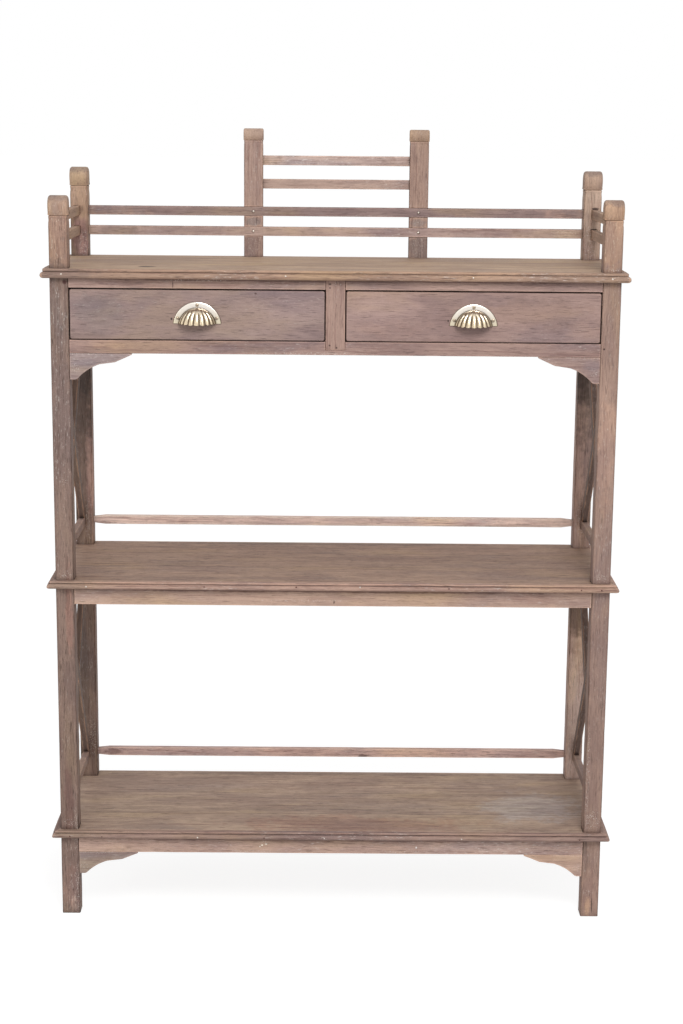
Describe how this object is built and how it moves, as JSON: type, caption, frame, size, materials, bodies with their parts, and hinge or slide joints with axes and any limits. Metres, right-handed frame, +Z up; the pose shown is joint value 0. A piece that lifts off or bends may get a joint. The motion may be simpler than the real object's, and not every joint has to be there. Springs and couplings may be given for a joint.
{
  "type": "shelf unit with drawers",
  "caption": "Tall open wooden shelf unit with crossed side braces, a drawer case with scalloped cup pulls under its top, and a low railed gallery with a raised crest.",
  "frame": {"origin": "on the floor under the middle of the unit's bounding box", "axes": "+Z up, -Y towards the viewer in front of the drawers, +X to that viewer's right"},
  "size_m": [1.134, 0.385, 1.581],
  "materials": {
    "post_wood": "satin varnish, reddish brown",
    "board_wood": "satin varnish, worn",
    "moulding_wood": "satin varnish, worn edges",
    "frame_wood": "satin varnish",
    "brace_wood": "satin varnish",
    "gallery_wood": "satin varnish, greyed",
    "case_wood": "oiled",
    "drawer_front_wood": "satin varnish",
    "drawer_box_wood": "bare, sanded",
    "pull_brass": "aged, satin",
    "screw_brass": "aged, worn bright",
    "nail_steel": "dull, worn heads"
  },
  "bodies": {
    "root": {"back_left_post": "post_wood", "back_right_post": "post_wood", "bottom_back_apron": "frame_wood", "bottom_back_rail": "frame_wood", "bottom_board": "board_wood", "bottom_front_apron": "frame_wood", "bottom_moulding": "moulding_wood", "bottom_side_aprons": "frame_wood", "bottom_side_rails": "frame_wood", "case_back": "case_wood", "centre_runner": "case_wood", "crest_slats": "gallery_wood", "drawer_divider": "frame_wood", "drawer_guides": "case_wood", "drawer_lower_rail": "frame_wood", "drawer_top_rail": "frame_wood", "front_left_post": "post_wood", "front_right_post": "post_wood", "gallery_back_rails": "gallery_wood", "gallery_left_rails": "gallery_wood", "gallery_nails": "nail_steel", "gallery_right_rails": "gallery_wood", "left_case_side": "case_wood", "left_crest_post": "gallery_wood", "lower_left_bracket": "frame_wood", "lower_left_falling_brace": "brace_wood", "lower_left_rising_brace": "brace_wood", "lower_right_bracket": "frame_wood", "lower_right_falling_brace": "brace_wood", "lower_right_rising_brace": "brace_wood", "middle_back_apron": "frame_wood", "middle_back_rail": "frame_wood", "middle_board": "board_wood", "middle_front_apron": "frame_wood", "middle_moulding": "moulding_wood", "middle_side_aprons": "frame_wood", "middle_side_rails": "frame_wood", "right_case_side": "case_wood", "right_crest_post": "gallery_wood", "side_runners": "case_wood", "top_board": "board_wood", "top_moulding": "moulding_wood", "upper_left_bracket": "frame_wood", "upper_left_falling_brace": "brace_wood", "upper_left_rising_brace": "brace_wood", "upper_right_bracket": "frame_wood", "upper_right_falling_brace": "brace_wood", "upper_right_rising_brace": "brace_wood"},
    "left_drawer": {"left_cup_pull": "pull_brass", "left_drawer_back": "drawer_box_wood", "left_drawer_bottom": "drawer_box_wood", "left_drawer_front": "drawer_front_wood", "left_drawer_sides": "drawer_box_wood", "left_pull_screws": "screw_brass"},
    "right_drawer": {"right_cup_pull": "pull_brass", "right_drawer_back": "drawer_box_wood", "right_drawer_bottom": "drawer_box_wood", "right_drawer_front": "drawer_front_wood", "right_drawer_sides": "drawer_box_wood", "right_pull_screws": "screw_brass"}
  },
  "joints": [
    {"name": "left_drawer_slide", "type": "slide", "parent": "root", "child": "left_drawer", "axis": [0, -1, 0], "range_m": [0, 0.25]},
    {"name": "right_drawer_slide", "type": "slide", "parent": "root", "child": "right_drawer", "axis": [0, -1, 0], "range_m": [0, 0.25]}
  ]
}
